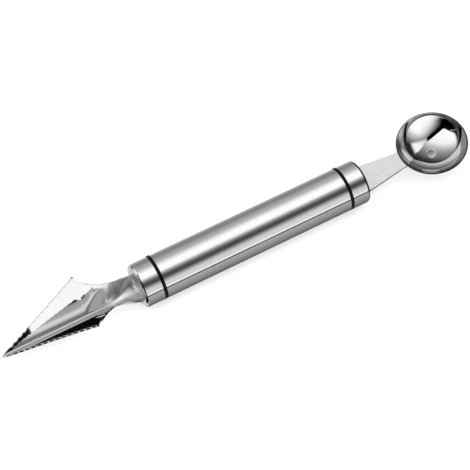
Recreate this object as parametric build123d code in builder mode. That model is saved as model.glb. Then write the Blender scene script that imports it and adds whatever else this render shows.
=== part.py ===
from build123d import *
from math import cos, radians, sin, sqrt, tan
import os

# Melon baller with a round scoop bowl at one end of its handle and a folded, serrated
# carving blade at the other. Millimetres. The origin is the middle of the handle, on its
# axis. +X runs along the handle towards the bowl, and +Z is the way the bowl and the
# blade's trough open.

# Handle tube
handle_radius = 9.5
tube_length = 85.4
tube_wall = 0.8

# Plugs that join the tube to the end caps; their flanges show as the black rings
flange_width = 1.5
plug_clearance = 0.05
plug_tube_depth = 13.0
plug_cap_depth = 6.0

# End caps, drawn from sheet
cap_length = 8.1
cap_wall = 0.8
cap_edge_round = 1.5
cap_crown = 0.8

# Tangs and the pins that hold them
tang_clearance = 0.1
tang_depth = 10.5
pin_radius = 1.25
pin_clearance = 0.02
pin_setback = 5.0
pin_recess = 0.4

# Carving blade
blade_sheet = 0.8
blade_length = 59.3
wing_length = 38.0
wing_rise = 13.3
wing_angle = 39.5
keel_drop = 5.5
fold_radius = 2.4
neck_radius = 7.6
neck_angle = 24.0
neck_rise = 3.6

# Blade serrations
tooth_pitch = 2.5
tooth_depth = 0.45
plain_tip = 4.4

# Scoop shank
strip_thickness = 1.0
shank_length = 19.3
shank_root_width = 12.9
shank_tip_width = 7.8
shank_pitch = 2.9
shank_rise = 0.3

# Scoop bowl
bowl_radius = 15.2
bowl_height = 9.6
bowl_wall = 0.8
bowl_tilt = 5.7
bowl_step = 0.3
vent_radius = 2.05
weld_gap = 0.02

# How far every cut runs past what it cuts
overrun = 2.0

# Places along the handle, worked out from the sizes above
tube_end = tube_length / 2
cap_start = tube_end + flange_width
cap_shoulder = cap_start + cap_length
cap_front = cap_shoulder + cap_crown
plug_radius = handle_radius - tube_wall - plug_clearance
plug_inner_end = tube_end - plug_tube_depth
plug_outer_end = cap_start + plug_cap_depth
tang_end = tube_end - tang_depth
pin_place = tube_end - pin_setback
pin_reach = plug_radius - pin_recess

# Places along the blade, which points towards -X
keel = -keel_drop
blade_tip = -(cap_front + blade_length)
wing_back = blade_tip + wing_length
wing_top = keel + wing_rise
neck_length = blade_length - wing_length
neck_top = keel + neck_rise
section_top = wing_top + overrun


def handle_cylinder(radius, start, end):
    """Round face across the handle at start, and the distance to extrude it to end."""
    with BuildSketch(Plane.YZ.offset(start)) as disc:
        Circle(radius)
    return disc.sketch, end - start


def cap_profile(side, inset):
    """Half outline of an end cap in the XZ plane. side is -1 at the blade and 1 at the scoop;
    inset moves the outline inwards by the sheet's thickness."""
    radius = handle_radius - inset
    rounding = cap_edge_round - inset
    shoulder = cap_shoulder - inset
    front = cap_front - inset
    flat_radius = radius - rounding
    knee = rounding * (1 - sqrt(0.5))
    with BuildSketch(Plane.XZ) as outline:
        with BuildLine():
            Line((side * cap_start, 0), (side * cap_start, radius))
            Line((side * cap_start, radius), (side * (shoulder - rounding), radius))
            ThreePointArc(
                (side * (shoulder - rounding), radius),
                (side * (shoulder - knee), radius - knee),
                (side * shoulder, flat_radius),
            )
            crown_arc_radius = (flat_radius**2 + cap_crown**2) / (2 * cap_crown)
            half_way = flat_radius / 2
            rise = sqrt(crown_arc_radius**2 - half_way**2) - (crown_arc_radius - cap_crown)
            ThreePointArc(
                (side * shoulder, flat_radius),
                (side * (shoulder + rise), half_way),
                (side * front, 0),
            )
            Line((side * front, 0), (side * cap_start, 0))
        make_face()
    return outline.sketch


def trough_section(x, radius, angle):
    """Section across the blade at x: a rounded fold with a straight wall on each side, leaning
    out by angle from upright, up to section_top."""
    lean = radians(angle)
    centre = keel + radius
    outer = radius
    inner = radius - blade_sheet
    outer_foot = (outer * cos(lean), centre - outer * sin(lean))
    inner_foot = (inner * cos(lean), centre - inner * sin(lean))
    outer_top = (outer_foot[0] + (section_top - outer_foot[1]) * tan(lean), section_top)
    inner_top = (inner_foot[0] + (section_top - inner_foot[1]) * tan(lean), section_top)
    with BuildSketch(Plane.YZ.offset(x)) as section:
        with BuildLine():
            Line(outer_top, outer_foot)
            ThreePointArc(outer_foot, (0, centre - outer), (-outer_foot[0], outer_foot[1]))
            Line((-outer_foot[0], outer_foot[1]), (-outer_top[0], section_top))
            Line((-outer_top[0], section_top), (-inner_top[0], section_top))
            Line((-inner_top[0], section_top), (-inner_foot[0], inner_foot[1]))
            ThreePointArc((-inner_foot[0], inner_foot[1]), (0, centre - inner), inner_foot)
            Line(inner_foot, inner_top)
            Line(inner_top, outer_top)
        make_face()
    return section.sketch


def tang_section(x, growth):
    """The blade's section inside the cap: a shallow curved strip cut off level at its top.
    growth makes it larger all round, for the slot that takes it."""
    with BuildSketch(Plane.YZ.offset(x)) as section:
        centre = keel + neck_radius
        cut_height = centre + neck_radius + overrun - (neck_top + growth)
        with Locations((0, centre)):
            Circle(neck_radius + growth)
            Circle(neck_radius - blade_sheet - growth, mode=Mode.SUBTRACT)
        with Locations((0, neck_top + growth + cut_height / 2)):
            Rectangle(4 * neck_radius, cut_height, mode=Mode.SUBTRACT)
    return section.sketch


# The strip's plane: its origin is on the cap's front, its X runs out along the strip
strip_plane = Plane(
    origin=(cap_front, 0, shank_rise),
    x_dir=(cos(radians(shank_pitch)), 0, sin(radians(shank_pitch))),
    z_dir=(-sin(radians(shank_pitch)), 0, cos(radians(shank_pitch))),
)

# The bowl's plane: its origin is the rim's centre, its Z is the way the bowl opens
rim_x = cap_front + shank_length
rim_z = shank_rise + shank_length * tan(radians(shank_pitch)) + bowl_step
bowl_plane = Plane(
    origin=(
        rim_x + bowl_radius * cos(radians(bowl_tilt)),
        0,
        rim_z + bowl_radius * sin(radians(bowl_tilt)),
    ),
    x_dir=(cos(radians(bowl_tilt)), 0, sin(radians(bowl_tilt))),
    z_dir=(-sin(radians(bowl_tilt)), 0, cos(radians(bowl_tilt))),
)
bowl_sphere = (bowl_radius**2 + bowl_height**2) / (2 * bowl_height)
bowl_centre_rise = bowl_sphere - bowl_height

os.makedirs("parts", exist_ok=True)

# The grip, a plain round tube
with BuildPart() as handle_tube:
    with BuildSketch(Plane.YZ):
        Circle(handle_radius)
        Circle(handle_radius - tube_wall, mode=Mode.SUBTRACT)
    extrude(amount=tube_length / 2, both=True)

# The plug at the blade: its flange lies between the tube and the cap
with BuildPart() as blade_plug:
    body, body_length = handle_cylinder(plug_radius, -plug_outer_end, -plug_inner_end)
    extrude(body, amount=body_length)
    flange, flange_length = handle_cylinder(handle_radius, -cap_start, -tube_end)
    extrude(flange, amount=flange_length)
    slot_length = plug_outer_end - tang_end + overrun + tang_clearance
    extrude(
        tang_section(-plug_outer_end - overrun, tang_clearance),
        amount=slot_length,
        mode=Mode.SUBTRACT,
    )
    with BuildSketch(Plane.XY):
        with Locations((-pin_place, 0)):
            Circle(pin_radius + pin_clearance)
    extrude(amount=plug_radius + overrun, both=True, mode=Mode.SUBTRACT)

# The plug at the scoop, with a straight slot for the strip's tang
with BuildPart() as scoop_plug:
    body, body_length = handle_cylinder(plug_radius, plug_inner_end, plug_outer_end)
    extrude(body, amount=body_length)
    flange, flange_length = handle_cylinder(handle_radius, tube_end, cap_start)
    extrude(flange, amount=flange_length)
    slot_length = cap_front - tang_end + tang_clearance
    with BuildSketch(strip_plane.offset(-strip_thickness - tang_clearance)):
        with Locations((-slot_length / 2 + overrun / 2, 0)):
            Rectangle(slot_length + overrun, shank_root_width + 2 * tang_clearance)
    extrude(amount=strip_thickness + 2 * tang_clearance, mode=Mode.SUBTRACT)
    with BuildSketch(Plane.XY):
        with Locations((pin_place, 0)):
            Circle(pin_radius + pin_clearance)
    extrude(amount=plug_radius + overrun, both=True, mode=Mode.SUBTRACT)

# The cap at the blade, slit for the blade's curved tang
with BuildPart() as blade_end_cap:
    revolve(cap_profile(-1, 0), axis=Axis.X)
    revolve(cap_profile(-1, cap_wall), axis=Axis.X, mode=Mode.SUBTRACT)
    extrude(
        tang_section(-cap_front - overrun, tang_clearance),
        amount=cap_length + cap_crown + overrun,
        mode=Mode.SUBTRACT,
    )

# The cap at the scoop, slit for the flat strip
with BuildPart() as scoop_end_cap:
    revolve(cap_profile(1, 0), axis=Axis.X)
    revolve(cap_profile(1, cap_wall), axis=Axis.X, mode=Mode.SUBTRACT)
    with BuildSketch(strip_plane.offset(-strip_thickness - tang_clearance)):
        with Locations((overrun / 2 - cap_length / 2, 0)):
            Rectangle(cap_length + overrun, shank_root_width + 2 * tang_clearance)
    extrude(amount=strip_thickness + 2 * tang_clearance, mode=Mode.SUBTRACT)

# How the trough opens out along the neck, behind the wings' back corners: places as shares of
# the neck's length, fold radii as shares of the neck's radius at the cap, and wall angles
neck_place_shares = (0.2, 0.4, 0.54, 0.68, 0.86, 1.0)
neck_radius_shares = (0.38, 0.496, 0.605, 0.658, 0.803, 1.0)
neck_wall_angles = (34.0, 22.0, 12.0, 5.0, 6.0, neck_angle)
# Heights of the trough's edges above the keel along the neck, as shares of the wings' rise,
# and the way the edge leaves the corner and reaches the cap
edge_place_shares = (0.113, 0.3, 0.676, 0.864)
edge_rise_shares = (0.82, 0.695, 0.583, 0.434)
corner_way = (0.5, -0.85)
neck_end_way = (0.85, -0.5)

# The blade: one folded sheet, trimmed to its outline seen from the side
with BuildPart() as carving_blade:
    wing_start = blade_tip - overrun
    extrude(
        trough_section(wing_start, fold_radius, wing_angle),
        amount=wing_back - wing_start,
    )
    neck_sections = [trough_section(wing_back, fold_radius, wing_angle)]
    for place, share, angle in zip(neck_place_shares, neck_radius_shares, neck_wall_angles):
        neck_sections.append(
            trough_section(wing_back + place * neck_length, share * neck_radius, angle)
        )
    loft(neck_sections)
    with BuildSketch(Plane.XZ):
        with BuildLine():
            edge_slope = wing_rise / wing_length
            start = (blade_tip - overrun, keel - overrun * edge_slope)
            corner = (wing_back, wing_top)
            neck_edge = [
                (wing_back + place * neck_length, keel + share * wing_rise)
                for place, share in zip(edge_place_shares, edge_rise_shares)
            ]
            neck_end = (-cap_front, neck_top)
            past_end = (-cap_front + overrun, neck_top)
            Line(start, corner)
            Spline(corner, *neck_edge, neck_end, tangents=(corner_way, neck_end_way))
            Line(neck_end, past_end)
            Line(past_end, (past_end[0], section_top + overrun))
            Line((past_end[0], section_top + overrun), (start[0], section_top + overrun))
            Line((start[0], section_top + overrun), start)
        make_face()
    extrude(amount=section_top - keel + overrun, both=True, mode=Mode.SUBTRACT)
    # Serrations: round scallops side by side along both straight edges
    scallop_radius = ((tooth_pitch / 2) ** 2 + tooth_depth**2) / (2 * tooth_depth)
    edge_length = sqrt(wing_length**2 + wing_rise**2)
    along = (wing_length / edge_length, wing_rise / edge_length)
    lift = scallop_radius - tooth_depth
    tooth_count = int((edge_length - plain_tip) / tooth_pitch)
    scallop_places = [
        (
            blade_tip + (plain_tip + (n + 0.5) * tooth_pitch) * along[0] - lift * along[1],
            keel + (plain_tip + (n + 0.5) * tooth_pitch) * along[1] + lift * along[0],
        )
        for n in range(tooth_count)
    ]
    with BuildSketch(Plane.XZ):
        with Locations(*scallop_places):
            Circle(scallop_radius)
    extrude(amount=section_top - keel + overrun, both=True, mode=Mode.SUBTRACT)
    # The tang runs on from the neck into the plug
    extrude(tang_section(-cap_front, 0), amount=cap_front - tang_end)
    with BuildSketch(Plane.XY):
        with Locations((-pin_place, 0)):
            Circle(pin_radius + pin_clearance)
    extrude(amount=handle_radius, both=True, mode=Mode.SUBTRACT)

# The scoop's shank: a flat strip that narrows towards the bowl, with a straight tang
with BuildPart() as scoop_shank:
    with BuildSketch(strip_plane):
        with BuildLine():
            root = shank_root_width / 2
            tip = shank_tip_width / 2
            reach = shank_length + bowl_radius / 2
            tang_start = -(cap_front - tang_end)
            Polyline(
                (tang_start, -root),
                (0, -root),
                (shank_length, -tip),
                (reach, -tip),
                (reach, tip),
                (shank_length, tip),
                (0, root),
                (tang_start, root),
                close=True,
            )
        make_face()
    extrude(amount=-strip_thickness)
    with Locations(bowl_plane.offset(bowl_centre_rise)):
        Sphere(bowl_sphere + weld_gap, mode=Mode.SUBTRACT)
    with BuildSketch(Plane.XY):
        with Locations((pin_place, 0)):
            Circle(pin_radius + pin_clearance)
    extrude(amount=handle_radius, both=True, mode=Mode.SUBTRACT)

# The bowl, a shallow pressed cup with a vent hole at its bottom
with BuildPart() as scoop_bowl:
    with Locations(bowl_plane.offset(bowl_centre_rise)):
        Sphere(bowl_sphere)
        Sphere(bowl_sphere - bowl_wall, mode=Mode.SUBTRACT)
    split(bisect_by=bowl_plane, keep=Keep.BOTTOM)
    with BuildSketch(bowl_plane):
        Circle(vent_radius)
    extrude(amount=-(bowl_height + overrun), mode=Mode.SUBTRACT)

# The pins, pressed through the plugs and the tangs and hidden by the tube
with BuildPart() as blade_pin:
    with BuildSketch(Plane.XY):
        with Locations((-pin_place, 0)):
            Circle(pin_radius)
    extrude(amount=pin_reach, both=True)

with BuildPart() as scoop_pin:
    with BuildSketch(Plane.XY):
        with Locations((pin_place, 0)):
            Circle(pin_radius)
    extrude(amount=pin_reach, both=True)

pieces = {
    "handle_tube": handle_tube,
    "blade_plug": blade_plug,
    "scoop_plug": scoop_plug,
    "blade_end_cap": blade_end_cap,
    "scoop_end_cap": scoop_end_cap,
    "carving_blade": carving_blade,
    "scoop_shank": scoop_shank,
    "scoop_bowl": scoop_bowl,
    "blade_pin": blade_pin,
    "scoop_pin": scoop_pin,
}
for name, piece in pieces.items():
    piece.part.label = name
    export_step(piece.part, f"parts/{name}.step")
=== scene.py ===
import math

import bpy
import numpy as np
from mathutils import Matrix, Vector


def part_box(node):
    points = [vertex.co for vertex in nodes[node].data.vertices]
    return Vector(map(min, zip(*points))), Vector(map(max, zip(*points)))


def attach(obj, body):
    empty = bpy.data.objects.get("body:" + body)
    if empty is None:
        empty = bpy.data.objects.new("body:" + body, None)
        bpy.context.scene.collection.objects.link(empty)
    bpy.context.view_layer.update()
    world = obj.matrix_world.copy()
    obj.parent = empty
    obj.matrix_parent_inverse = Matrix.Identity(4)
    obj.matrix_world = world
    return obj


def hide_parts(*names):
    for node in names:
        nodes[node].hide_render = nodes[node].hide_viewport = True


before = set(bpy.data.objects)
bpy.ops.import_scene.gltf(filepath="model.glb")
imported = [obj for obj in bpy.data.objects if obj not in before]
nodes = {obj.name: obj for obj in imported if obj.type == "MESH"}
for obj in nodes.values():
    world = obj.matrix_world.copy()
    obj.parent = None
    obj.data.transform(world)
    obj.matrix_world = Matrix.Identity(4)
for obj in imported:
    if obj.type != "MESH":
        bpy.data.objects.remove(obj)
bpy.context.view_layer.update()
mm = 0.001


# ---- Handle tube ----
# The grip is a plain round tube of stainless steel, cut from drawn stock and open at both ends.
# A belt has brushed it around its axis, which leaves fine rings and a soft sheen along its length.

brushed_dark = (0.60, 0.60, 0.605)
brushed_light = (0.70, 0.70, 0.705)
brushed_roughness = (0.09, 0.13)
scratch_depth = 2e-6
sheen_spread = 0.4


def add_group(name, inputs, outputs):
    """An empty shader node group. inputs are (name, value) and outputs names, all of them numbers."""
    tree = bpy.data.node_groups.new(name, "ShaderNodeTree")
    for label, value in inputs:
        socket = tree.interface.new_socket(label, in_out="INPUT", socket_type="NodeSocketFloat")
        socket.default_value = value
    for label in outputs:
        tree.interface.new_socket(label, in_out="OUTPUT", socket_type="NodeSocketFloat")
    return tree, tree.nodes.new("NodeGroupInput").outputs, tree.nodes.new("NodeGroupOutput").inputs


def add_node(tree, kind, inputs=None, **settings):
    """A node with its settings. inputs maps a socket's name or number to a value or to another
    node's socket."""
    node = tree.nodes.new(kind)
    for key, value in settings.items():
        setattr(node, key, value)
    for key, value in (inputs or {}).items():
        if isinstance(value, bpy.types.NodeSocket):
            tree.links.new(value, node.inputs[key])
        else:
            node.inputs[key].default_value = value
    return node


def maths(tree, operation, *values):
    """A maths node's result."""
    return add_node(tree, "ShaderNodeMath", dict(enumerate(values)), operation=operation).outputs[0]


def vector_maths(tree, operation, *values):
    """A vector maths node's result: a number for a length or distance, and else a vector."""
    sockets = (0, 3) if operation == "SCALE" else range(len(values))
    node = add_node(tree, "ShaderNodeVectorMath", dict(zip(sockets, values)), operation=operation)
    return node.outputs["Value" if operation in ("LENGTH", "DISTANCE") else "Vector"]


def mapped(tree, value, low, high, to_low, to_high):
    """value's range low to high taken to the range to_low to to_high."""
    return add_node(
        tree, "ShaderNodeMapRange",
        {"Value": value, "From Min": low, "From Max": high, "To Min": to_low, "To Max": to_high},
    ).outputs[0]


def place_on_object(tree):
    """The place on the object, in metres."""
    return add_node(tree, "ShaderNodeTexCoord").outputs["Object"]


def parts_of(tree, vector):
    """A vector's X, Y and Z."""
    return add_node(tree, "ShaderNodeSeparateXYZ", {0: vector}).outputs


def noise(tree, place, per_metre, detail, roughness=0.5):
    """A noise that changes over the surface, about 0.3 to 0.7."""
    sockets = {"Vector": place, "Scale": per_metre, "Detail": detail, "Roughness": roughness}
    return add_node(tree, "ShaderNodeTexNoise", sockets).outputs[0]


def tinted(tree, share, first, second):
    """The first colour where share is 0 and the second where it is 1."""
    sockets = {0: share, 6: (*first, 1), 7: (*second, 1)}
    return add_node(tree, "ShaderNodeMix", sockets, data_type="RGBA").outputs[2]


def bumped(tree, height, strength, distance):
    """The surface's normal, tilted by the slopes of height."""
    sockets = {"Strength": strength, "Distance": distance, "Height": height}
    return add_node(tree, "ShaderNodeBump", sockets).outputs[0]


def ring_brushing():
    """Fine scratches around the X axis: a mask of lines, a coarser mask of bands and a height."""
    tree, given, out = add_group(
        "ring_brushing",
        [("Lines per metre", 5200.0), ("Spread around", 90.0)],
        ["Lines", "Bands", "Height"],
    )
    place = parts_of(tree, place_on_object(tree))
    stretched = add_node(tree, "ShaderNodeCombineXYZ", {
        0: maths(tree, "MULTIPLY", place["X"], given["Lines per metre"]),
        1: maths(tree, "MULTIPLY", place["Y"], given["Spread around"]),
        2: maths(tree, "MULTIPLY", place["Z"], given["Spread around"]),
    }).outputs[0]
    lines = noise(tree, stretched, 1.0, 3.0, 0.62)
    bands = noise(tree, vector_maths(tree, "MULTIPLY", stretched, (0.09, 0.5, 0.5)), 1.0, 2.0)
    tree.links.new(lines, out["Lines"])
    tree.links.new(bands, out["Bands"])
    tree.links.new(maths(tree, "MULTIPLY_ADD", bands, 0.4, lines), out["Height"])
    return tree


def new_material(name, metallic=0.0):
    """A material, its node tree and the sockets of its Principled shader, with nothing linked."""
    material = bpy.data.materials.new(name)
    material.use_nodes = True
    tree = material.node_tree
    sockets = next(n for n in tree.nodes if n.type == "BSDF_PRINCIPLED").inputs
    sockets["Metallic"].default_value = metallic
    return material, tree, sockets


def brushed_steel(name):
    """Steel brushed around the X axis: its sheen spreads along the axis."""
    material, tree, steel = new_material(name, metallic=1.0)
    lines = add_node(tree, "ShaderNodeGroup", node_tree=brushing).outputs
    share = mapped(tree, lines["Lines"], 0.25, 0.75, 0.0, 1.0)
    tree.links.new(tinted(tree, share, brushed_dark, brushed_light), steel["Base Color"])
    tree.links.new(mapped(tree, lines["Bands"], 0.3, 0.7, *brushed_roughness), steel["Roughness"])
    tree.links.new(bumped(tree, lines["Height"], 0.35, scratch_depth), steel["Normal"])
    around = add_node(tree, "ShaderNodeTangent", direction_type="RADIAL", axis="X")
    tree.links.new(around.outputs[0], steel["Tangent"])
    steel["Anisotropic"].default_value = sheen_spread
    steel["Anisotropic Rotation"].default_value = 0.25
    return material


def dress(node, material):
    """Puts the material on every slot of a CAD node."""
    mesh = nodes[node].data
    if not mesh.materials:
        mesh.materials.append(material)
    for place in range(len(mesh.materials)):
        mesh.materials[place] = material


brushing = ring_brushing()
dress("handle_tube", brushed_steel("handle_brushed_steel"))


# ---- Plugs with the black rings ----
# Each end of the tube is closed by a moulded plug of black plastic. Only its flange shows, as a
# thin black ring flush with the steel, with the faint grain of the mould and a soft gloss.

ring_black = (0.002, 0.002, 0.002)
ring_rubbed = (0.005, 0.005, 0.005)
ring_plastic, ring_tree, ring_face = new_material("black_ring_plastic")
ring_grain = noise(ring_tree, place_on_object(ring_tree), 2600.0, 3.0)
ring_wear = noise(ring_tree, place_on_object(ring_tree), 260.0, 4.0)
ring_wear = mapped(ring_tree, ring_wear, 0.45, 0.8, 0.0, 1.0)
ring_tree.links.new(tinted(ring_tree, ring_wear, ring_black, ring_rubbed), ring_face["Base Color"])
ring_tree.links.new(mapped(ring_tree, ring_grain, 0.3, 0.7, 0.38, 0.52), ring_face["Roughness"])
ring_tree.links.new(bumped(ring_tree, ring_grain, 0.25, 5e-6), ring_face["Normal"])
ring_face["Specular IOR Level"].default_value = 0.12
for node in ("blade_plug", "scoop_plug"):
    dress(node, ring_plastic)


# ---- End caps ----
# A short cup drawn from steel sheet closes each end of the handle. Its side is brushed around
# like the tube's, and its rounded shoulder and crowned front are slit for the tool that passes.

cap_steel = brushed_steel("cap_brushed_steel")
for node in ("blade_end_cap", "scoop_end_cap"):
    dress(node, cap_steel)


# ---- Pins ----
# Two short round pins are cut from plain steel wire. Each is pressed across its plug and through
# the tang in it, and the tube hides both.

pin_dark = (0.42, 0.42, 0.43)
pin_light = (0.56, 0.56, 0.56)
pin_steel, pin_tree, pin_face = new_material("plain_pin_steel", metallic=1.0)
pin_grain = noise(pin_tree, place_on_object(pin_tree), 900.0, 3.0)
pin_tree.links.new(tinted(pin_tree, pin_grain, pin_dark, pin_light), pin_face["Base Color"])
pin_tree.links.new(mapped(pin_tree, pin_grain, 0.3, 0.7, 0.3, 0.45), pin_face["Roughness"])
for node in ("blade_pin", "scoop_pin"):
    dress(node, pin_steel)


# ---- Carving blade ----
# The blade is one piece of stainless sheet, folded lengthwise to a trough, trimmed to two raked
# wings with scalloped teeth and drawn in to a curved neck. It is polished to a mirror, which
# turns to satin where the neck goes into the cap.

polished = (0.67, 0.67, 0.675)
smeared = [c * 0.97 for c in polished]
satin_roughness = 0.3

blade_low, blade_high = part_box("carving_blade")
sheet = 0.8 * mm
wing_length = 38.0 * mm
tip_x = blade_low.x
keel_z = blade_low.z
wing_rise = blade_high.z - keel_z
wing_back = tip_x + wing_length
neck_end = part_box("blade_end_cap")[0].x
neck_length = neck_end - wing_back
blade_end = neck_end + 2.5 * mm
tooth_pitch = 2.5 * mm
tooth_depth = 0.45 * mm
grind_depth = 0.15 * mm
plain_tip = 4.4 * mm
tip_pinch = 9 * mm
edge_bevel = 0.07 * mm
longest_half = 24 * mm
blade_corner_degrees = 28
satin_start = wing_back + 6.5 * mm
satin_end = wing_back + 13 * mm

# The neck's section from the wings' back end (0) to the cap (1): the cut edge's rise as a share of
# the wings', the fold's inside radius in millimetres, the walls' lean from upright in degrees, how
# much they curl outwards and over how many millimetres.
neck_places = (0.0, 0.07, 0.14, 0.28, 0.42, 0.56, 0.7, 0.85, 1.0)
edge_rises = (1.0, 0.85, 0.805, 0.729, 0.684, 0.639, 0.556, 0.451, 0.335)
fold_radii = (1.2, 1.2, 1.2, 1.2, 1.3, 1.75, 3.0, 5.3, 6.8)
wall_leans = (39.8, 38.6, 35.7, 27.8, 20.7, 19.1, 21.6, 19.2, 14.0)
wall_curls = (3.5, 3.9, 6.3, 12.2, 17.3, 16.4, 8.4, 0.0, 0.0)
curl_spans = (15.0, 14.0, 13.0, 11.0, 9.5, 8.5, 8.0, 8.0, 8.0)


def polishing():
    """Faint polishing marks and smears of a mirror-polished sheet, as masks and a height."""
    tree, given, out = add_group("mirror_polish", [("Scale", 1.0)], ["Smears", "Marks", "Height"])
    place = vector_maths(tree, "SCALE", place_on_object(tree), given["Scale"])
    along = vector_maths(tree, "MULTIPLY", place, (0.12, 1.0, 1.0))
    marks = noise(tree, along, 4200.0, 3.0, 0.6)
    waves = noise(tree, place, 180.0, 1.0)
    tree.links.new(noise(tree, place, 120.0, 4.0), out["Smears"])
    tree.links.new(marks, out["Marks"])
    tree.links.new(maths(tree, "MULTIPLY_ADD", marks, 0.02, waves), out["Height"])
    return tree


def mirror_steel(name, roughest, wave, satin_range=None):
    """Mirror-polished steel with faint smears and marks. Over satin_range, two places along the
    X axis, it turns to satin."""
    material, tree, steel = new_material(name, metallic=1.0)
    marks = add_node(tree, "ShaderNodeGroup", node_tree=polish).outputs
    share = mapped(tree, marks["Smears"], 0.3, 0.7, 0.0, 1.0)
    tree.links.new(tinted(tree, share, smeared, polished), steel["Base Color"])
    roughness = mapped(tree, marks["Marks"], 0.3, 0.7, 0.03, roughest)
    if satin_range:
        along = parts_of(tree, place_on_object(tree))["X"]
        satin = mapped(tree, along, *satin_range, 0.0, satin_roughness)
        roughness = maths(tree, "ADD", roughness, satin)
    tree.links.new(roughness, steel["Roughness"])
    tree.links.new(bumped(tree, marks["Height"], 0.15, wave), steel["Normal"])
    return material, tree, steel


def eased(places, values, at):
    """A smooth curve through (places, values), read at the places at."""
    places, values, at = (np.asarray(a, float) for a in (places, values, at))
    steps = np.diff(places)
    slopes = np.diff(values) / steps
    between = (slopes[:-1] * steps[1:] + slopes[1:] * steps[:-1]) / (steps[1:] + steps[:-1])
    slopes = np.concatenate([slopes[:1], between, slopes[-1:]])
    k = np.clip(np.searchsorted(places, at) - 1, 0, len(steps) - 1)
    step = steps[k]
    t = (at - places[k]) / step
    return (
        (2 * t**3 - 3 * t**2 + 1) * values[k] + (t**3 - 2 * t**2 + t) * step * slopes[k]
        + (-2 * t**3 + 3 * t**2) * values[k + 1] + (t**3 - t**2) * step * slopes[k + 1]
    )


def edge_height(x):
    """Height above the keel of the blade's cut edge at x, without its teeth."""
    if x < wing_back:
        return wing_rise * (x - tip_x) / wing_length
    return wing_rise * float(eased(neck_places, edge_rises, min((x - wing_back) / neck_length, 1.0)))


def tooth_cut(x):
    """How deep the scallops cut into the straight edge at x, along the sheet."""
    edge_length = math.hypot(wing_rise, wing_length)
    from_first = (x - tip_x) / wing_length * edge_length - plain_tip
    tooth = math.floor(from_first / tooth_pitch)
    if x > wing_back or not 0 <= tooth < int((edge_length - plain_tip) / tooth_pitch):
        return 0.0
    off_middle = from_first - (tooth + 0.5) * tooth_pitch
    radius = ((tooth_pitch / 2) ** 2 + tooth_depth**2) / (2 * tooth_depth)
    return max(math.sqrt(max(radius**2 - off_middle**2, 0)) - (radius - tooth_depth), 0.0)


def section_curve(x, lengths):
    """The inside of the blade's section at x: points (y, z) and the way the sheet runs, at each
    length along the sheet from the keel, and the length at which the fold ends."""
    place = min(max((x - wing_back) / neck_length, 0.0), 1.0)
    radius, lean, curl, span = (
        float(eased(neck_places, values, place))
        for values in (fold_radii, wall_leans, wall_curls, curl_spans)
    )
    from_tip = min(max((x - tip_x) / tip_pinch, 0.0), 1.0)
    radius *= mm * (0.4 + 0.6 * from_tip * (2 - from_tip))
    foot = math.radians(90 - lean)
    fold_end = radius * foot
    curled = math.radians(curl) * np.clip((lengths - fold_end) / (span * mm), 0, 1)
    angle = np.where(lengths < fold_end, lengths / radius, foot - curled)
    steps = np.diff(lengths)
    y, z = (
        np.concatenate([[0], np.cumsum(steps * (way[1:] + way[:-1]) / 2)])
        for way in (np.cos(angle), np.sin(angle))
    )
    return y, z + keel_z + sheet, angle, fold_end


def blade_mesh():
    """The blade as a closed sheet: an inside and an outside skin of the same grid, joined along the
    cut edge and at the end in the cap. The cut edge has a small bevel on both skins. The points of
    a row stand closest in the fold."""
    fold_shares = np.linspace(0, 1, 16)
    wall_shares = np.linspace(0, 1, 18)[1:]
    xs = np.concatenate([
        tip_x + wing_length * np.concatenate([[0.002, 0.006, 0.012], np.linspace(0.02, 1, 430)]),
        np.linspace(wing_back, blade_end, 150)[1:],
    ])
    fine = np.linspace(0, longest_half, 1400)
    inside_rows, outside_rows = [], []
    for x in xs:
        y, z, angle, fold_end = section_curve(x, fine)
        end = float(np.interp(edge_height(x) + keel_z, z - sheet * np.cos(angle), fine))
        cut = min(tooth_cut(x), end * 0.4)
        grind = min(cut * grind_depth / tooth_depth, end * 0.2)
        bevel = min(edge_bevel, end * 0.2)
        for rows, offset, reach, edge_offset in (
            (inside_rows, 0.0, end - cut - grind, bevel),
            (outside_rows, sheet, end - cut, sheet - bevel),
        ):
            bend = min(fold_end * 1.05, 0.6 * (reach - bevel))
            wall = reach - bevel - bend
            lengths = np.concatenate([bend * fold_shares, bend + wall * wall_shares, [reach]])
            depth = np.full(len(lengths), offset)
            depth[-1] = edge_offset
            side, rise, way = (np.interp(lengths, fine, v) for v in (y, z, angle))
            half = np.stack([side + depth * np.sin(way), rise - depth * np.cos(way)], 1)
            rows.append([(x, -a, b) for a, b in half[:0:-1]] + [(x, a, b) for a, b in half])
    count = len(xs)
    wide = len(inside_rows[0])
    verts = [point for row in inside_rows + outside_rows for point in row]

    def at(skin, i, j):
        return (skin * count + i) * wide + j

    faces = []
    for i in range(count - 1):
        for j in range(wide - 1):
            faces.append((at(0, i, j), at(0, i + 1, j), at(0, i + 1, j + 1), at(0, i, j + 1)))
            faces.append((at(1, i, j), at(1, i, j + 1), at(1, i + 1, j + 1), at(1, i + 1, j)))
        last = wide - 1
        faces.append((at(0, i, 0), at(1, i, 0), at(1, i + 1, 0), at(0, i + 1, 0)))
        faces.append((at(0, i, last), at(0, i + 1, last), at(1, i + 1, last), at(1, i, last)))
    last = count - 1
    for j in range(wide - 1):
        faces.append((at(0, last, j), at(1, last, j), at(1, last, j + 1), at(0, last, j + 1)))
        faces.append((at(0, 0, j), at(0, 0, j + 1), at(1, 0, j + 1), at(1, 0, j)))
    return verts, faces


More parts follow.
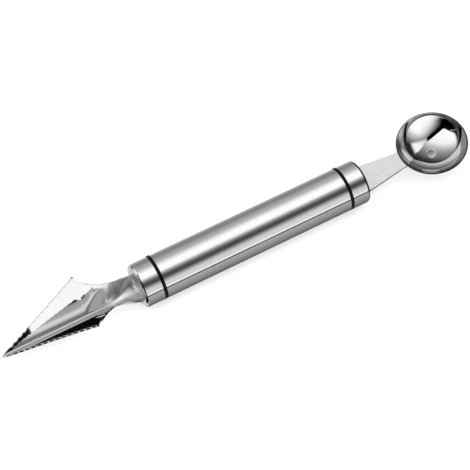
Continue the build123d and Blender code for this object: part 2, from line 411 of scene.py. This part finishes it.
def new_piece(name, verts, faces, material, sharp_degrees, node, slot):
    """A piece from its points and faces, smooth but for corners over sharp_degrees."""
    mesh = bpy.data.meshes.new(name)
    mesh.from_pydata([tuple(v) for v in verts], [], faces)
    mesh.validate()
    mesh.shade_smooth()
    mesh.set_sharp_from_angle(angle=math.radians(sharp_degrees))
    mesh.materials.append(material)
    piece = bpy.data.objects.new(name, mesh)
    bpy.context.scene.collection.objects.link(piece)
    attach(piece, "root")
    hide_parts(node)
    return piece


polish = polishing()
blade_steel = mirror_steel("blade_mirror_steel", 0.07, 2e-5, (satin_start, satin_end))[0]
blade = new_piece(
    "folded_carving_blade", *blade_mesh(), blade_steel, blade_corner_degrees,
    "carving_blade", "blade_steel",
)


# ---- Scoop shank ----
# A flat steel strip holds the bowl. It is cut with straight tapering sides, pitched up a little
# and finished with a fine satin grain along its length.

shank_dark = (0.66, 0.66, 0.67)
shank_light = (0.72, 0.72, 0.72)
shank_steel, shank_tree, shank_face = new_material("shank_satin_steel", metallic=1.0)
shank_place = place_on_object(shank_tree)
shank_grain = vector_maths(shank_tree, "MULTIPLY", shank_place, (0.03, 1.0, 1.0))
shank_grain = noise(shank_tree, shank_grain, 5200.0, 3.0, 0.6)
shank_patches = mapped(shank_tree, noise(shank_tree, shank_place, 140.0, 3.0), 0.3, 0.7, 0.0, 1.0)
shank_tint = tinted(shank_tree, shank_patches, shank_dark, shank_light)
shank_tree.links.new(shank_tint, shank_face["Base Color"])
shank_tree.links.new(mapped(shank_tree, shank_grain, 0.3, 0.7, 0.2, 0.3), shank_face["Roughness"])
shank_tree.links.new(bumped(shank_tree, shank_grain, 0.25, 2e-6), shank_face["Normal"])
dress("scoop_shank", shank_steel)


# ---- Scoop bowl ----
# The bowl is pressed from steel sheet to a shallow cap of a ball, its rim is ground flat to a
# sharp cutting ring, and one hole through its bottom lets air in behind the melon ball.

bowl_radius = 15.2 * mm
bowl_height = 9.6 * mm
bowl_wall = 0.5 * mm
bowl_tilt = math.radians(5.7)
vent_radius = 2.05 * mm
edge_round = 0.1 * mm
bowl_corner_degrees = 50
bowl_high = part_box("scoop_bowl")[1]
ball = (bowl_radius**2 + bowl_height**2) / (2 * bowl_height)
ball_rise = ball - bowl_height


def blended(tree, share, first, second):
    """The number first where share is 0 and second where it is 1."""
    return add_node(tree, "ShaderNodeMix", {0: share, 2: first, 3: second}).outputs[0]


def bowl_profile():
    """Half section of the bowl, from the vent hole's outer edge over the rim to its inner edge, as
    (radius, height over the rim). Rounded edges are short arcs."""
    inner = ball - bowl_wall
    rim_in = math.sqrt(inner**2 - ball_rise**2)
    half = (bowl_radius - rim_in) / 2

    def on_ball(sphere, r):
        return ball_rise - math.sqrt(sphere**2 - r**2)

    def skin(sphere, from_angle, to_angle):
        return [
            (sphere * math.sin(a), ball_rise - sphere * math.cos(a))
            for a in np.linspace(from_angle, to_angle, 70)
        ]

    hole_out, hole_in = on_ball(ball, vent_radius), on_ball(inner, vent_radius)
    start = [
        (vent_radius, hole_out + edge_round),
        (vent_radius + 0.3 * edge_round, hole_out + 0.3 * edge_round),
    ]
    outer = skin(
        ball, math.asin((vent_radius + edge_round) / ball),
        math.asin((bowl_radius - 0.2 * edge_round) / ball) - 0.02,
    )
    rim = [
        (rim_in + half + half * math.cos(a), half * math.sin(a) - half)
        for a in np.linspace(0, math.pi, 14)
    ]
    inside = skin(
        inner, math.asin(rim_in / inner) - 0.02, math.asin((vent_radius + edge_round) / inner)
    )
    end = [
        (vent_radius + 0.3 * edge_round, hole_in - 0.3 * edge_round),
        (vent_radius, hole_in - edge_round),
    ]
    return start + outer + rim + inside + end


def turned(profile, sides):
    """A closed ring made by turning a profile about the Z axis."""
    turns = [2 * math.pi * k / sides for k in range(sides)]
    verts = [Vector((r * math.cos(a), r * math.sin(a), z)) for a in turns for r, z in profile]
    n = len(profile)
    faces = [
        (k * n + i, (k + 1) % sides * n + i, (k + 1) % sides * n + (i + 1) % n, k * n + (i + 1) % n)
        for k in range(sides) for i in range(n)
    ]
    return verts, faces


bowl_steel, bowl_tree, bowl_face = mirror_steel("bowl_mirror_steel", 0.06, 1e-5)
# The steep side under the rim and the ground rim itself are painted darker, most of all in front: painted
# shade that stands in for the dark reflections there.
rim_middle = (bowl_high.x - bowl_radius, 0, bowl_high.z)
bowl_point = place_on_object(bowl_tree)
from_axis = vector_maths(bowl_tree, "SUBTRACT", bowl_point, rim_middle)
from_axis = vector_maths(bowl_tree, "MULTIPLY", from_axis, (1, 1, 0))
from_axis = vector_maths(bowl_tree, "LENGTH", from_axis)
at_rear = mapped(bowl_tree, parts_of(bowl_tree, bowl_point)["Y"], 7 * mm, 11 * mm, 0.0, 1.0)
steep_painted_shade = mapped(bowl_tree, from_axis, 12.1 * mm, 12.9 * mm, 1.0, 0.36)
steep_painted_shade = blended(bowl_tree, at_rear, steep_painted_shade, 0.95)
rim_painted_shade = mapped(bowl_tree, from_axis, 14.7 * mm, 14.8 * mm, 1.0, 0.35)
plain_tint = bowl_face["Base Color"].links[0].from_socket
# Painted shade: the bowl's colour is darkened by these two masks of the steep side and the rim.
bowl_tint_with_painted_shade = vector_maths(bowl_tree, "SCALE", plain_tint, maths(bowl_tree, "MULTIPLY", steep_painted_shade, rim_painted_shade))
bowl_tree.links.new(bowl_tint_with_painted_shade, bowl_face["Base Color"])

bowl_verts, bowl_faces = turned(bowl_profile(), 256)
bowl_x = bowl_high.x - bowl_radius * math.cos(bowl_tilt)
bowl_z = bowl_high.z - bowl_radius * math.sin(bowl_tilt)
bowl_place = Matrix.Translation((bowl_x, 0, bowl_z)) @ Matrix.Rotation(-bowl_tilt, 4, "Y")
new_piece(
    "pressed_scoop_bowl", [bowl_place @ v for v in bowl_verts], bowl_faces, bowl_steel,
    bowl_corner_degrees, "scoop_bowl", "bowl_steel",
)


# ---- Table ----
# The tool lies on its handle on a plain table with a pale matt top, which carries on out of sight. The
# bowl's shadow is painted into the table's colour as a soft dark round spot under it, and the vent hole
# shows that painted shadow.

table_level = -9.5 * mm
table_reach = 6.0
table_dark = (0.86, 0.86, 0.86)
table_light = (0.88, 0.88, 0.88)
shade_middle = (88.5 * mm, 7 * mm, table_level)


def read_off(tree, value, *stops):
    """The result at value on a line through stops, each (place, result)."""
    low, high = stops[0][0], stops[-1][0]
    least = min(result for _, result in stops)
    most = max(result for _, result in stops)
    ramp = add_node(tree, "ShaderNodeValToRGB", {0: mapped(tree, value, low, high, 0.0, 1.0)})
    for place, _ in stops[1:-1]:
        ramp.color_ramp.elements.new((place - low) / (high - low))
    for stop, (_, result) in zip(ramp.color_ramp.elements, stops):
        stop.color = (*[(result - least) / (most - least)] * 3, 1)
    return mapped(tree, ramp.outputs[0], 0.0, 1.0, least, most)


def flat_mesh(name, left, right_end, near, far, top, material):
    """A level rectangle."""
    mesh = bpy.data.meshes.new(name)
    corners = [(left, near, top), (right_end, near, top), (right_end, far, top), (left, far, top)]
    mesh.from_pydata(corners, [], [(0, 1, 2, 3)])
    mesh.materials.append(material)
    return mesh


table_top, table_tree, table_face = new_material("pale_table")
table_place = place_on_object(table_tree)
table_tint = tinted(table_tree, noise(table_tree, table_place, 300.0, 3.0), table_dark, table_light)
# Painted shadow: the table's colour is darkened in a soft round spot under the bowl.
painted_bowl_shadow = read_off(
    table_tree, vector_maths(table_tree, "DISTANCE", table_place, shade_middle),
    (0, 0.02), (2.6 * mm, 0.03), (4.5 * mm, 0.2), (6.5 * mm, 0.4), (9 * mm, 0.8), (13 * mm, 1.0),
)
table_tint = vector_maths(table_tree, "SCALE", table_tint, painted_bowl_shadow)
table_tree.links.new(table_tint, table_face["Base Color"])
table_face["Roughness"].default_value = 0.9
table = bpy.data.objects.new("table", flat_mesh(
    "table", -table_reach, table_reach, -table_reach, table_reach, table_level, table_top
))
bpy.context.scene.collection.objects.link(table)


# ---- Light ----
# The tool is lit as in a product studio: soft panels overhead and in front, dark gaps between
# them and cards on the table. The polished surfaces mirror them as bright and dark bands.

world = bpy.data.worlds.new("studio")
world.use_nodes = True
sky = world.node_tree
toward = parts_of(sky, add_node(sky, "ShaderNodeTexCoord").outputs["Generated"])
# Directions are told by their angle from straight up, in degrees: right is its part towards the
# scoop, rear its part towards the back.
tilt = maths(sky, "MULTIPLY", maths(sky, "ARCCOSINE", toward["Z"]), math.degrees(1))
level = maths(sky, "ADD", maths(sky, "POWER", toward["X"], 2.0), maths(sky, "POWER", toward["Y"], 2.0))
level = maths(sky, "SQRT", level)
right = maths(sky, "MULTIPLY", maths(sky, "DIVIDE", toward["X"], level), tilt)
rear = maths(sky, "MULTIPLY", maths(sky, "DIVIDE", toward["Y"], level), tilt)
front = maths(sky, "MULTIPLY", rear, -1.0)

# The back of the room is bright on the left and falls off to the right.
back_wall = read_off(
    sky, maths(sky, "MULTIPLY_ADD", rear, 0.83, right),
    (-36, 1.46), (-16, 1.3), (-8, 1.07), (0, 0.86), (8, 0.68), (16, 0.52), (26, 0.39), (39, 0.27),
    (52, 0.18), (65, 0.07), (78, 0.025), (94, 0.007),
)
# The panel in front grows brighter downwards and fades to both sides.
panel_fall = read_off(
    sky, maths(sky, "MULTIPLY_ADD", right, 0.4, front),
    (8, 0.0), (15, 0.09), (20, 0.23), (24, 0.36), (28, 0.52), (32, 0.7), (40, 1.05), (46, 1.25),
    (55, 1.43), (65, 1.55),
)
panel_sides = read_off(
    sky, maths(sky, "MULTIPLY_ADD", right, -0.8, front),
    (-30, 0.08), (-13, 0.19), (0, 0.42), (10, 0.55), (20, 0.76), (30, 0.95), (40, 1.0),
)
panel_top = read_off(
    sky, right,
    (-60, 0.01), (-30, 0.02), (-16, 0.12), (-6, 0.6), (8, 1.09), (24, 1.22), (36, 1.4), (44, 1.4),
    (50, 1.1), (56, 0.2), (60, 0.03),
)
below_top = mapped(sky, front, 17.0, 26.0, 0.0, 1.0)
front_panel = blended(sky, below_top, panel_top, maths(sky, "MULTIPLY", panel_fall, panel_sides))
# A dark gap parts the two.
panel_edge = read_off(
    sky, right,
    (-88, 50), (-80, 36), (-74, 20), (-69, 2), (-63, -14), (-58, -17.5), (-45, -18), (-21, -16.5),
    (3, -12.8), (13, -9), (21, -3.2), (41, 6.7), (53, 11), (60, 24),
)
gap = read_off(sky, right, (-90, 4), (-60, 11), (-20, 11), (-3, 9), (2, 0.0))
over_edge = maths(sky, "SUBTRACT", rear, panel_edge)
in_back = mapped(sky, over_edge, -0.6, 0.6, 0.0, 1.0)
in_front = mapped(sky, maths(sky, "ADD", over_edge, gap), 0.5, -3.0, 0.0, 1.0)
room = maths(
    sky, "ADD", maths(sky, "MULTIPLY", in_back, back_wall), maths(sky, "MULTIPLY", in_front, front_panel)
)

# Low down the room is dark, but for the panel in front.
high_up = mapped(sky, tilt, 76.0, 84.0, 1.0, 0.0)
well_in_front = mapped(sky, front, 40.0, 55.0, 0.0, 1.0)
room = maths(sky, "MULTIPLY", room, maths(sky, "MAXIMUM", high_up, well_in_front))

# Past the table's edge the camera itself sees a plain pale backdrop.
backdrop_seen = add_node(sky, "ShaderNodeLightPath").outputs["Is Camera Ray"]
sky.links.new(blended(sky, backdrop_seen, room, 1.0), sky.nodes["Background"].inputs[0])
bpy.context.scene.world = world
bpy.context.scene.view_settings.view_transform = "Standard"


def glow_material(name, measure, *stops):
    """A card's face. Its brightness follows stops of (measure, brightness); measure is worked out
    from the place on the card."""
    material, tree, face = new_material(name)
    place = parts_of(tree, place_on_object(tree))
    tree.links.new(read_off(tree, measure(tree, place), *stops), face["Emission Color"])
    face["Emission Strength"].default_value = 1.0
    face["Base Color"].default_value = (0, 0, 0, 1)
    face["Specular IOR Level"].default_value = 0.0
    return material


def nearness(tree, place):
    """The place along the Y axis, in metres."""
    return place["Y"]


def degrees_round(tree, place):
    """The angle round the handle's axis, in degrees from upright towards the front."""
    turned_by = maths(tree, "ARCTAN2", maths(tree, "MULTIPLY", place["Y"], -1.0), place["Z"])
    return maths(tree, "MULTIPLY", turned_by, math.degrees(1))


def light_group(name, objects):
    """A collection that a light can be kept to."""
    group = bpy.data.collections.new(name)
    for o in objects:
        group.objects.link(o)
    return group


def card(mesh, group=None):
    """A card of the studio. Only polished surfaces see it, or only those in group."""
    piece = bpy.data.objects.new(mesh.name, mesh)
    bpy.context.scene.collection.objects.link(piece)
    piece.visible_camera = False
    piece.visible_diffuse = False
    piece.visible_transmission = False
    piece.visible_shadow = False
    if group:
        piece.light_linking.receiver_collection = group


def flat_card(name, left, right_end, near, far, rise, material, group=None):
    """A flat card lying on the table."""
    card(flat_mesh(name, left, right_end, near, far, table_level + rise, material), group)


card_strips = 40


def round_card(name, ends, low, high, material, group=None):
    """A card bent round the handle's axis between two angles, in degrees. ends are its two edges,
    each (x, radius)."""
    turns = [math.radians(a) for a in np.linspace(low, high, card_strips + 1)]
    verts = [(x, -r * math.sin(a), r * math.cos(a)) for x, r in ends for a in turns]
    mesh = bpy.data.meshes.new(name)
    faces = [(i, i + 1, i + card_strips + 2, i + card_strips + 1) for i in range(card_strips)]
    mesh.from_pydata(verts, [], faces)
    mesh.materials.append(material)
    card(mesh, group)


# A white sheet lies on the table.
sheet_glow = glow_material("table_sheet", nearness, (-2.0, 0.8), (2.0, 0.7))
flat_card("table_sheet", -2, 2, -2, 2, 0.05 * mm, sheet_glow)

# A close tunnel of soft panels round the handle, open at both ends.
tunnel_radius = 12 * mm
tunnel_left, tunnel_right = -52.5 * mm, 56 * mm
tunnel_glow = glow_material(
    "tunnel_panels", degrees_round,
    (-100, 1.4), (-80, 1.25),  # a white panel low behind
    (-58, 0.45), (-40, 0.3), (-15, 0.7),  # a grey one above it
    (0, 1.5), (14, 1.5),  # a white one overhead
    (23, 0.4), (30, 0.1), (38, 0.1),  # a dark gap
    (52, 0.95), (61, 0.95),  # a pale one in front
    (65, 1.3), (69, 1.3),  # its white foot
    (69.5, 0.02), (73, 0.02),  # a thin black gap
    (73.5, 0.6), (95, 0.4),  # a grey one under it
    (125, 0.15), (141, 0.2),  # the dark underneath
)
lit_nodes = ("handle_tube", "blade_plug", "scoop_plug", "blade_end_cap", "scoop_end_cap", "scoop_shank")
lit_handle = light_group("lit_handle", [nodes[n] for n in lit_nodes] + [blade])
tunnel_ends = [(tunnel_left, tunnel_radius), (tunnel_right, tunnel_radius)]
round_card("handle_tunnel", tunnel_ends, -99, 141, tunnel_glow, lit_handle)

# A black disc in front of the cap and a black ring at the tunnel's end keep the panels out of the
# bowl's mirror picture.
black_glow = glow_material(
    "black_card", lambda tree, place: place["Z"], (-50 * mm, 0.0), (50 * mm, 0.004)
)
cover_x, ring_x = 53.8 * mm, 56.1 * mm
round_card("cap_cover", [(cover_x, 2.5 * mm), (cover_x, tunnel_radius)], -80, 80, black_glow)
round_card("tunnel_end", [(ring_x, 9.6 * mm), (ring_x, 13 * mm)], -141, 141, black_glow)

# Over the blade the same row of panels stands wider: a panel overhead, a black gap and a white
# panel in front, which stops short of the blade's tip.
wide_radius = 45 * mm
wide_left, wide_right = -125 * mm, -46 * mm
front_left = -93 * mm
wide_ends = [(wide_left, wide_radius), (wide_right, wide_radius)]
front_ends = [(front_left, wide_radius), (wide_right, wide_radius)]
tip_ends = [(wide_left, wide_radius), (front_left, wide_radius)]
overhead_glow = glow_material(
    "blade_overhead", degrees_round,
    (-101, 0.7), (0, 0.8), (5, 0.75),  # a grey panel behind
    (8, 0.3), (10, 0.25),  # a narrow dark gap
    (13.5, 1.45), (16, 1.5),  # a white strip
    (19, 0.8), (25, 0.7), (26.5, 0.1),  # a grey edge
)
front_glow = glow_material("blade_front", degrees_round, (50, 1.4), (101, 1.42))
front_sheet_glow = glow_material("neck_sheet", nearness, (-60 * mm, 1.4), (-6 * mm, 1.4001))
blade_only = light_group("lit_blade", [blade])
round_card("blade_rear", wide_ends, -101, -19, overhead_glow)
round_card("blade_overhead", wide_ends, -19, 26.5, overhead_glow, blade_only)
round_card("blade_gap", wide_ends, 26.5, 50, black_glow)
round_card("blade_front", front_ends, 50, 101, front_glow, blade_only)
round_card("blade_front_end", tip_ends, 50, 101, black_glow)
flat_card(
    "neck_sheet", -80 * mm, -57 * mm, -60 * mm, -6 * mm, 0.12 * mm, front_sheet_glow, blade_only
)

# A bent panel close over the neck's end, and a black wall between it and the handle's panels.
neck_radius = 14 * mm
neck_ends = [(-59.0 * mm, neck_radius), (-53.5 * mm, neck_radius)]
wall_ends = [(-52.6 * mm, tunnel_radius), (-52.6 * mm, 24 * mm)]
neck_glow = glow_material(
    "neck_light", degrees_round,
    (-70, 0.0), (-50, 0.1), (-45, 1.2), (-31, 1.4), (-15, 1.8), (-8, 2.4), (26, 2.4),
)
blade_and_cap = light_group("lit_neck", [blade, nodes["blade_end_cap"]])
round_card("neck_rear_light", neck_ends, -70, -15, neck_glow, blade_and_cap)
round_card("neck_top_light", neck_ends, -15, 26, neck_glow, blade_only)
round_card("front_wall", wall_ends, 45, 80, black_glow)

# A grey glowing strip under the handle is a painted shadow: it stands in for the table's shade under the
# handle as the steel mirrors it. A black sheet lies in front of the scoop.
painted_shadow_glow = glow_material("painted_handle_shadow", nearness, (-9 * mm, 0.2), (9 * mm, 0.24))
flat_card("painted_handle_shadow", tunnel_left, 53 * mm, -9 * mm, 9 * mm, 0.12 * mm, painted_shadow_glow)
flat_card("scoop_front_sheet", 54 * mm, 112 * mm, -40 * mm, -7.5 * mm, 0.13 * mm, black_glow)


def soft_box(name, place, aim, width, height, strength, group):
    """A flat soft light at place that faces aim and lights the objects in group alone. strength is
    its brightness as the camera would see it."""
    data = bpy.data.lights.new(name, "AREA")
    data.shape = "RECTANGLE"
    data.size, data.size_y = width, height
    data.energy = strength * width * height * math.pi
    box = bpy.data.objects.new(name, data)
    bpy.context.scene.collection.objects.link(box)
    way = (Vector(place) - Vector(aim)).normalized()
    box.matrix_world = Matrix.Translation(place) @ way.to_track_quat("Z", "Y").to_matrix().to_4x4()
    box.visible_camera = False
    box.light_linking.receiver_collection = group
    return box


table_only = light_group("lit_table", [table])
table_box = soft_box("table_light", (0, 0, 3.0), (0, 0, 0), 5.0, 5.0, 1.9, table_only)
table_box.data.use_shadow = False
shank_only = light_group("lit_shank", [nodes["scoop_shank"]])
soft_box("shank_box", (0.55, 0.42, 0.75), (62 * mm, 0, 0), 0.9, 0.7, 0.85, shank_only)


# ---- Camera ----
# It stands in front of the tool and a little to its left and looks down on it, with a long lens,
# from the photograph's place.

azimuth, elevation = math.radians(-28.71), math.radians(59.95)
distance = 650 * mm
aim = Vector((-6.06, 2.01, 0)) * mm
sensor_width = 36.0
picture_width = 470.0
focal_length = 1586.0  # in pixels of the picture
to_camera = Vector((
    math.sin(azimuth) * math.cos(elevation), -math.cos(azimuth) * math.cos(elevation), math.sin(elevation)
))
camera_data = bpy.data.cameras.new("camera")
camera_data.sensor_width = sensor_width
camera_data.lens = sensor_width * focal_length / picture_width
camera_data.clip_start = 0.01
camera_data.clip_end = 50.0
camera = bpy.data.objects.new("camera", camera_data)
camera.location = aim + to_camera * distance
camera.rotation_mode = "QUATERNION"
camera.rotation_quaternion = to_camera.to_track_quat("Z", "Y")
bpy.context.scene.collection.objects.link(camera)
bpy.context.scene.camera = camera
